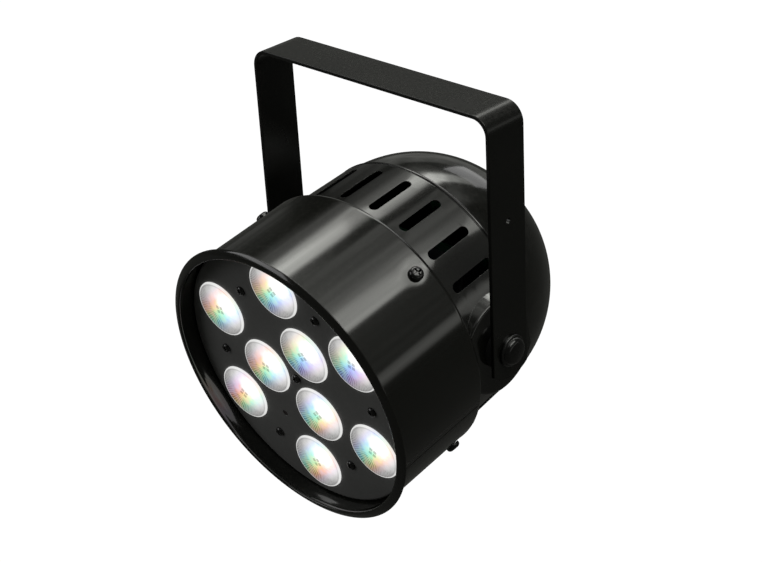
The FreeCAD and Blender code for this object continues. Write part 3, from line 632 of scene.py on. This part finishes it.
# --------------------------------------------------------------------- lenses
# (hue at the middle, way the colours run) of lenses 1 to 9
LENS_HUES = [(0.62, 1), (0.42, 1), (0.33, 1), (0.17, 1), (0.30, -1), (0.40, -1), (0.54, 1),
             (0.32, 1), (0.40, -1)]


def lens_outline():
    """(r, y) from the face's middle, round the rim and flange, to the socket's middle."""
    outline = []
    for i in range(26):
        r = FACE_R * i / 25
        outline.append((r, -FACE_RISE * (1 - (r / FACE_R) ** 2)))
    flange_front, flange_rear = FLANGE_Y
    outline += [(18.72, 0.03), (18.87, 0.16), (18.97, 0.35), (LENS_R, 0.6),
                (LENS_R, flange_front), (FLANGE_R, flange_front), (FLANGE_R, flange_rear),
                (CUP_FRONT_R, flange_rear)]
    for i in range(1, 15):
        t = i / 14
        bulge = CUP_BULGE * math.sin(math.pi * t)
        outline.append((CUP_FRONT_R + (CUP_REAR_R - CUP_FRONT_R) * t + bulge,
                        flange_rear + (CUP_REAR_Y - flange_rear) * t))
    return outline + [(SOCKET_R, CUP_REAR_Y), (SOCKET_R, 19.2), (0.0, 18.3)]


def make_lens(name, matrix, material, turns=120):
    """The outline turned about y, with one shared vertex at each end of the axis."""
    (_, front_y), *ring, (_, rear_y) = lens_outline()
    count = len(ring)
    verts = [(0, front_y * MM, 0)]
    for j in range(turns):
        a = 2 * math.pi * j / turns
        for r, y in ring:
            verts.append((r * MM * math.cos(a), y * MM, r * MM * math.sin(a)))
    last = len(verts)
    verts.append((0, rear_y * MM, 0))
    faces = []
    for j in range(turns):
        this = 1 + j * count
        following = 1 + (j + 1) % turns * count
        faces.append((0, this, following))
        for i in range(count - 1):
            faces.append((this + i, this + i + 1, following + i + 1, following + i))
        faces.append((this + count - 1, last, following + count - 1))
    return add_mesh(name, verts, faces, material, matrix, sharp=40)


def lens_place(node):
    """Matrix of the CAD lens's front rim, from its extent in the can's frame."""
    to_can = CAN.inverted()
    points = np.array([v.co for v in cad_nodes[node].data.vertices])
    points = points @ np.array(to_can.to_3x3()).T + np.array(to_can.translation)
    low = points.min(axis=0)
    high = points.max(axis=0)
    return CAN @ Matrix.Translation(((low[0] + high[0]) / 2, low[1] + FACE_RISE * MM,
                                     (low[2] + high[2]) / 2))


for k, (hue_middle, hue_turn) in enumerate(LENS_HUES, start=1):
    node = "lens_%d" % k
    materials[node] = lens_material("lens_glow_%d" % k, hue_middle, hue_turn,
                                    spin=0.5 + 0.9 * k)
    lens = make_lens("lens_cell_%d" % k, lens_place(node), materials[node])
    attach(lens, "can")
    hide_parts(node)

# each CAD piece takes its slot's finish, or the one made for that piece alone
for subpart in frame["record"]["subparts"]:
    node = subpart["node"]
    slot = subpart["material_slot"]
    mesh_slots = cad_nodes[node].data.materials
    mesh_slots.clear()
    mesh_slots.append(materials[slot] if slot in materials else materials[node])

# ---------------------------------------------------------------------- world
# Soft lights laid out around the can's axis. Both spans are (start, full, fading, gone):
# degrees about the axis (0 is +X, 90 is up), then the direction's share along the axis,
# positive to the rear. The last number is the level; negative levels darken.
LIGHTS = [
    ((107.0, 112.5, 121.0, 132.0), (-0.10, 0.25, 0.72, 0.98), 3.7),    # main, sharp toward +X
    ((112.0, 122.0, 124.0, 152.0), (-0.20, 0.10, 0.60, 0.90), 0.62),   # its soft skirt
    ((45.0, 49.0, 51.0, 66.0), (-0.30, 0.10, 0.53, 0.74), 2.2),        # second strip
    ((45.0, 49.0, 60.0, 84.0), (-0.30, 0.10, 0.53, 0.74), 1.8),        # its fade toward the top
    ((70.0, 80.0, 106.0, 112.0), (-0.30, 0.05, 0.62, 0.95), 0.50),     # between the two
    ((98.0, 101.0, 106.0, 108.5), (0.52, 0.54, 0.66, 0.80), -0.46),    # dark line by the main
    ((104.0, 108.0, 122.0, 128.0), (0.5450, 0.5480, 0.5585, 0.5640), -3.5),   # break in the main
    ((137.0, 143.0, 202.0, 216.0), (0.5180, 0.5350, 0.5585, 0.5640), -0.12),  # break, -X side
    ((-3.0, 0.5, 5.5, 9.5), (-0.40, 0.0, 0.70, 0.86), 0.75),           # thin low strip, +X
    ((8.0, 12.0, 42.0, 47.0), (-0.40, 0.0, 0.60, 0.80), 0.10),         # dim area above it
    ((155.5, 160.5, 200.0, 232.0), (0.56, 0.66, 0.97, 1.20), 0.16),    # -X side, rear
    ((150.0, 165.0, 200.0, 232.0), (-0.20, 0.20, 0.54, 0.64), 0.03),   # -X side, ahead of that
    ((196.0, 206.0, 214.0, 226.0), (0.10, 0.30, 0.66, 0.80), 0.42),    # low glow, -X side
]
AMBIENT = 0.045
DARKEST = 0.012
TINT = (1.0, 1.01, 0.95)


def window(value, span):
    start, full, fading, gone = span
    return value.step(start, full) * value.step(gone, fading)


def build_world(world):
    """Studio lights for everything but the camera, which sees plain white."""
    graph = Graph(world.node_tree)
    coords = graph.coords("Generated")
    can_rear = (CAN.to_3x3() @ Vector((0, 1, 0))).normalized()
    can_up = (CAN.to_3x3() @ Vector((0, 0, 1))).normalized()
    along = graph.dot(coords, tuple(can_rear))
    side = graph.dot(coords, (1.0, 0.0, 0.0))
    up = graph.dot(coords, tuple(can_up))
    degrees = graph.math("ARCTAN2", up, side) * (180 / math.pi)
    # wrapped to run from -90 to 270
    around = graph.math("FRACT", (degrees + 450.0) / 360.0) * 360.0 - 90.0

    light = AMBIENT
    for around_span, along_span, level in LIGHTS:
        light = light + window(around, around_span) * window(along, along_span) * level
    light = graph.math("MAXIMUM", light, DARKEST)

    # unevenness: clouds, and streaks drawn out along y
    clouds = graph.noise(coords, scale=5.0, detail=4.0, rough=0.6)
    stretched = graph.value("ShaderNodeVectorMath", {0: coords, 1: (9.0, 1.4, 9.0)},
                            operation="MULTIPLY")
    streaks = graph.noise(stretched, scale=1.6)
    light = light * clouds.step(start=0.30, end=0.70, low=0.72, high=1.30)
    light = light * streaks.step(start=0.30, end=0.70, low=0.80, high=1.20)

    color = graph.value("ShaderNodeCombineColor", {i: light * t for i, t in enumerate(TINT)})
    studio = graph.value("ShaderNodeBackground", {"Color": color})
    white = graph.value("ShaderNodeBackground",
                        {"Color": (1, 1, 1), "Strength": BACKDROP_STRENGTH})
    graph.finish(graph.camera_switch(studio, white), "ShaderNodeOutputWorld")


scene = bpy.context.scene
scene.world = bpy.data.worlds.new("studio")
scene.world.use_nodes = True
build_world(scene.world)


# ----------------------------------------------------------- lights and floor
def softbox(name, azimuth, elevation, side, radiance):
    """Square area light facing the pivot; azimuth in degrees from -Y toward +X."""
    turn = math.radians(azimuth)
    rise = math.radians(elevation)
    direction = Vector((math.cos(rise) * math.sin(turn), -math.cos(rise) * math.cos(turn),
                        math.sin(rise)))
    light = bpy.data.lights.new(name, "AREA")
    light.shape = "RECTANGLE"
    light.size = side
    light.size_y = side
    light.energy = radiance * math.pi * side * side
    obj = bpy.data.objects.new(name, light)
    scene.collection.objects.link(obj)
    obj.location = PIVOT + direction * SOFTBOX_DISTANCE
    obj.rotation_euler = (-direction).to_track_quat("-Z", "Y").to_matrix().to_euler()


softbox("fill_top", azimuth=20, elevation=62, side=1.1, radiance=0.28)
softbox("fill_front", azimuth=-40, elevation=18, side=1.4, radiance=1.6)
softbox("fill_rear", azimuth=197, elevation=22, side=0.8, radiance=0.9)


def floor_material():
    """Dark grey to bounced light, plain white to the camera."""
    material, graph = new_material("floor_pale")
    tone = graph.noise(graph.coords(), scale=3.0)
    grey = tone.ramp([(0.3, (0.062, 0.062, 0.060)), (0.7, (0.075, 0.075, 0.073))])
    diffuse = graph.value("ShaderNodeBsdfDiffuse", {"Color": grey})
    white = graph.value("ShaderNodeEmission", {"Strength": BACKDROP_STRENGTH})
    graph.finish(graph.camera_switch(diffuse, white))
    return material


floor_z = PIVOT.z - FLOOR_DROP
floor_corners = [(x * FLOOR_HALF, y * FLOOR_HALF, floor_z)
                 for x, y in ((-1, -1), (1, -1), (1, 1), (-1, 1))]
floor = add_mesh("floor", floor_corners, [(0, 1, 2, 3)], floor_material())

# --------------------------------------------------------------------- camera
# in front of the can, on its +X side and above, looking back down at it
CAMERA_OFFSET = Vector((0.68953, -0.69934, 0.54143))   # from the pivot
CAMERA_RIGHT = Vector((0.72546711, 0.68627418, -0.05220373))
CAMERA_DOWN = Vector((0.29152103, -0.37510599, -0.87994942))
CAMERA_FORWARD = Vector((-0.6234685, 0.62315588, -0.47219041))
CAMERA_SHIFT = 0.00065616798                           # share of the sensor's width

camera = bpy.data.cameras.new("camera")
camera.sensor_fit = "HORIZONTAL"
camera.sensor_width = 36.0
camera.lens = 83.63
camera.shift_x = -CAMERA_SHIFT
camera.shift_y = CAMERA_SHIFT
camera.clip_start = 0.05
camera_object = bpy.data.objects.new("camera", camera)
scene.collection.objects.link(camera_object)
camera_turn = Matrix((CAMERA_RIGHT, -CAMERA_DOWN, -CAMERA_FORWARD)).transposed()
camera_object.matrix_world = Matrix.Translation(PIVOT + CAMERA_OFFSET) @ camera_turn.to_4x4()
scene.camera = camera_object

# --------------------------------------------------------------------- render
scene.view_settings.view_transform = "Standard"
scene.view_settings.look = "None"
scene.view_settings.exposure = 0.0
scene.view_settings.gamma = 1.0
scene.cycles.use_denoising = True
scene.cycles.max_bounces = 6
scene.cycles.diffuse_bounces = 3
scene.cycles.glossy_bounces = 4
scene.cycles.sample_clamp_indirect = 4.0
scene.cycles.caustics_reflective = False
scene.cycles.caustics_refractive = False
